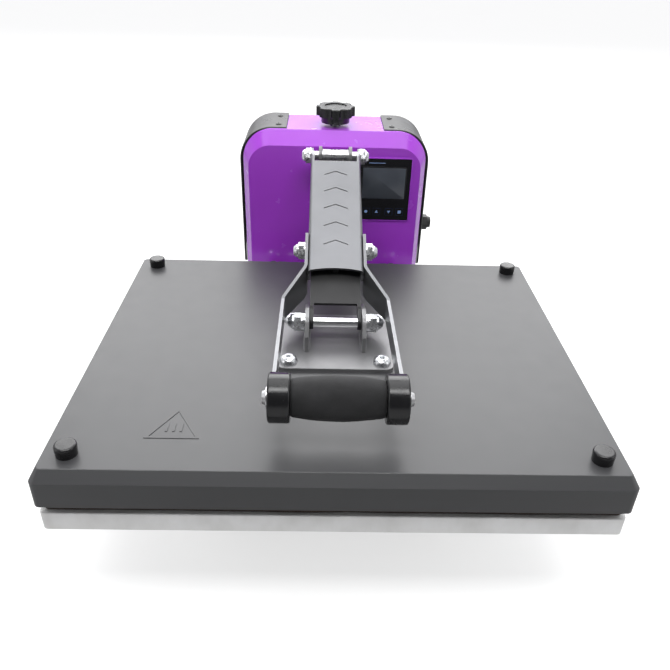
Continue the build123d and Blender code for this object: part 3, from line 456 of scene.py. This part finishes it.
def foam_grip():
    """The foam sleeve of the grip: barrel-shaped, squeezed at its ends, with a hand-worn surface."""
    low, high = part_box("grip_sleeve")
    middle = (low + high) / 2
    half = (high.x - low.x) / 2
    full = (high.z - low.z) / 2 - 0.1 * MM
    bore = 4.2 * MM
    end_radius = full * 0.83
    profile = [(-half, bore), (-half, end_radius - 1.6 * MM), (-half + 0.5 * MM, end_radius - 0.4 * MM)]
    steps = 64
    for step in range(1, steps):
        t = -1 + 2 * step / steps
        profile.append((half * t * 0.985, end_radius + (full - end_radius) * (1 - t * t)))
    profile += [(half - 0.5 * MM, end_radius - 0.4 * MM), (half, end_radius - 1.6 * MM), (half, bore)]
    around = 96
    rings = []
    for x, radius in profile:
        ring = []
        for k in range(around):
            turn = 2 * math.pi * k / around
            spot = Vector((x * 60, math.cos(turn) * 1.6, math.sin(turn) * 1.6))
            dent = 0 if radius <= bore else 0.28 * MM * (noise.noise(spot) - 0.5)
            dent += 0 if radius <= bore else 0.06 * MM * noise.noise(spot * 7)
            r = radius + dent
            ring.append((middle.x + x, middle.y + r * math.cos(turn), middle.z + r * math.sin(turn)))
        rings.append(ring)
    bm = bmesh.new()
    rows = loops_to_mesh(bm, rings, caps=False)
    for i in range(around):
        j = (i + 1) % around
        bm.faces.new((rows[0][i], rows[0][j], rows[-1][j], rows[-1][i]))
    made = piece("grip_foam", bm, "grip_foam", "lever")
    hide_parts("grip_sleeve")


# ---- weld beads -------------------------------------------------------------------------------
def weld(name, slot, body, start, end, radius, seed):
    """A rippled bead laid in the corner between two plates."""
    start, end = Vector(start), Vector(end)
    along = (end - start).normalized()
    side = along.cross(Vector((0, 0, 1)) if abs(along.z) < 0.9 else Vector((1, 0, 0))).normalized()
    up = side.cross(along)
    length = (end - start).length
    steps = max(8, int(length / (0.8 * MM)))
    rings = []
    for step in range(steps + 1):
        t = step / steps
        taper = min(1, 8 * t + 0.25, 8 * (1 - t) + 0.25)
        ripple = 1 + 0.13 * math.sin(step * 1.9) + 0.12 * noise.noise(Vector((step * 0.21, seed, 0)))
        centre = start + along * length * t
        ring = []
        for k in range(10):
            turn = 2 * math.pi * k / 10
            offset = side * math.cos(turn) + up * math.sin(turn)
            ring.append(centre + offset * radius * taper * ripple)
        rings.append(ring)
    bm = bmesh.new()
    loops_to_mesh(bm, rings)
    piece(name, bm, slot, body, angle=80)


def frame_welds():
    """Beads where the cross tubes meet the rails, on the top face."""
    inset, sunk = 4 * MM, 0.4 * MM
    count = 0
    for node in ("base_cross_front", "base_cross_middle", "base_cross_rear"):
        low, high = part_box(node)
        z = high.z - sunk
        for x in (low.x, high.x):
            weld(f"base_weld_{count}", "frame_black", "base",
                 (x, low.y + inset, z), (x, high.y - inset, z), 2.2 * MM, count)
            count += 1


def bracket_welds():
    """Beads along the feet of the two bracket ears."""
    for side, node in ((-1, "bracket_ear_left"), (1, "bracket_ear_right")):
        low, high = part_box(node)
        z = low.z + 0.3 * MM
        inner, outer = (low.x, high.x) if side > 0 else (high.x, low.x)
        for label, x in (("in", inner), ("out", outer)):
            name = "bracket_weld_" + ("left_" if side < 0 else "right_") + label
            weld(name, "bracket_grey", "head", (x, low.y + 2 * MM, z), (x, high.y - 2 * MM, z),
                 1.7 * MM, side + low.x)


# ---- display ----------------------------------------------------------------------------------
def plate_on_front(name, slot, centre, half_x, half_z, radius, back, front, hole=None):
    """A rounded plate that faces the operator, between two depths, or a rim when it has a hole."""
    bm = bmesh.new()
    outer = rounded_rectangle(half_x, half_z, radius, 6)

    def ring(points, y):
        return [(centre[0] + x, y, centre[1] + z) for x, z in points]

    soft = 0.15 * MM
    inner = rounded_rectangle(half_x - soft, half_z - soft, max(radius - soft, 0.1 * MM), 6)
    if hole is None:
        loops_to_mesh(bm, [ring(outer, back), ring(outer, front + soft), ring(inner, front)])
    else:
        mouth = rounded_rectangle(half_x - hole, half_z - hole, max(radius - hole, 0.2 * MM), 6)
        rings = [ring(outer, back), ring(outer, front + soft), ring(inner, front), ring(mouth, front),
                 ring(mouth, back)]
        rows = loops_to_mesh(bm, rings, caps=False)
        count = len(outer)
        for i in range(count):
            j = (i + 1) % count
            bm.faces.new((rows[0][i], rows[0][j], rows[-1][j], rows[-1][i]))
    piece(name, bm, slot, "base", angle=50)


def icon_shape(name, slot, centre, outline, front):
    """One raised touch symbol from its outline of points."""
    bm = bmesh.new()
    rings = [[(centre[0] + x, y, centre[1] + z) for x, z in outline] for y in (front + 0.12 * MM, front)]
    loops_to_mesh(bm, rings)
    piece(name, bm, slot, "base", angle=30)


def display():
    """What shows behind the touch panel's glass: the screen, its grey partly a painted reflection, a
    title bar and four touch symbols.
    """
    low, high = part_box("display_panel")
    front = low.y
    rim = 1.3 * MM
    middle = ((low.x + high.x) / 2, (low.z + high.z) / 2)
    plate_on_front("display_bezel", "housing_purple", middle, (high.x - low.x) / 2 + rim,
                   (high.z - low.z) / 2 + rim, 3 * MM, front + 1.2 * MM, front - 0.5 * MM, 1.25 * MM)
    screen_low = Vector((high.x - 64.5 * MM, 0, high.z - 55.4 * MM))
    screen_high = Vector((high.x - 7 * MM, 0, high.z - 12.5 * MM))
    centre = ((screen_low.x + screen_high.x) / 2, (screen_low.z + screen_high.z) / 2)
    half_x = (screen_high.x - screen_low.x) / 2
    half_z = (screen_high.z - screen_low.z) / 2
    sunk = front + 0.1 * MM
    mask = 1.4 * MM
    # The screen plate's grey, lighter than the glass round it, is partly a painted reflection.
    plate_on_front("display_screen_painted_reflection", "screen_and_painted_reflection", centre, half_x, half_z, 0.6 * MM, sunk, front - 0.08 * MM)
    plate_on_front("display_mask", "display_glass", centre, half_x + mask, half_z + mask, 1 * MM,
                   sunk, front - 0.1 * MM, mask)
    plate_on_front("display_title_bar", "symbols", (high.x - 46 * MM, high.z - 6 * MM),
                   11 * MM, 0.45 * MM, 0.3 * MM, sunk, front - 0.06 * MM)
    size = 3.4 * MM
    turns = [2 * math.pi * k / 28 for k in range(28)]
    ring_points = [(size * math.cos(turn), size * math.sin(turn)) for turn in turns]
    outlines = {
        "symbol_ring": ring_points,
        "symbol_up": [(-size, -size * 0.7), (size, -size * 0.7), (0, size)],
        "symbol_down": [(size, size * 0.7), (-size, size * 0.7), (0, -size)],
        "symbol_square": [(-size, -size), (size, -size), (size, size), (-size, size)],
    }
    pad, pad_rim, shrink = 5.2 * MM, 0.35 * MM, 0.62
    from_right = (58, 43.4, 26.5, 11.8)
    for (name, outline), across in zip(outlines.items(), from_right):
        centre = (high.x - across * MM, low.z + 12 * MM)
        plate_on_front(name + "_pad", "touch_pad", centre, pad, pad, 1.2 * MM, sunk,
                       front - 0.05 * MM, pad_rim)
        small = [(x * shrink, z * shrink) for x, z in outline]
        icon_shape(name, "symbols", centre, small, front - 0.06 * MM)


# Screen grey: partly the screen's own tone, partly a painted reflection on the glass.
MATERIALS["screen_and_painted_reflection"] = screen("screen", (0.062, 0.07, 0.085))
MATERIALS["touch_pad"] = screen("touch pad", (0.015, 0.03, 0.09))
MATERIALS["symbols"] = screen("symbols", (0.2, 0.3, 0.55), 0.2)


# ---- floor ------------------------------------------------------------------------------------
def floor():
    """A pale floor, lit up to white where the camera sees it, that keeps a soft shadow."""
    bpy.ops.mesh.primitive_plane_add(size=24, location=(0, 0, 0))
    ground = bpy.context.object
    ground.name = "floor"
    pale = Paint("floor", FLOOR_PAINT, 0.8)
    pale.tint(pale.noise(3, 2), 0.99, 1.01)
    pale.bump(pale.noise(300, 2), 0.00005, 0.2)
    lift = pale.node("ShaderNodeEmission")
    lift.inputs["Strength"].default_value = FLOOR_LIFT
    both = pale.node("ShaderNodeAddShader")
    seen = pale.node("ShaderNodeLightPath")
    mixed = pale.node("ShaderNodeMixShader")
    pale.link(pale.shader.outputs[0], both.inputs[0])
    pale.link(lift.outputs[0], both.inputs[1])
    pale.link(seen.outputs["Is Camera Ray"], mixed.inputs["Fac"])
    pale.link(pale.shader.outputs[0], mixed.inputs[1])
    pale.link(both.outputs[0], mixed.inputs[2])
    pale.link(mixed.outputs[0], pale.tree.nodes["Material Output"].inputs["Surface"])
    ground.data.materials.append(pale.material)


make_camera()
make_lights()
make_world()
dress_cad()
soft_slab("silicone_pad", "silicone_mat", "silicone", "base", 4 * MM, 2 * MM, 1.2 * MM)
soft_slab("insulation_blanket", "insulation_felt", "blanket", "head", 6 * MM, 3 * MM, 3 * MM)
foam_grip()
frame_welds()
bracket_welds()
display()
floor()
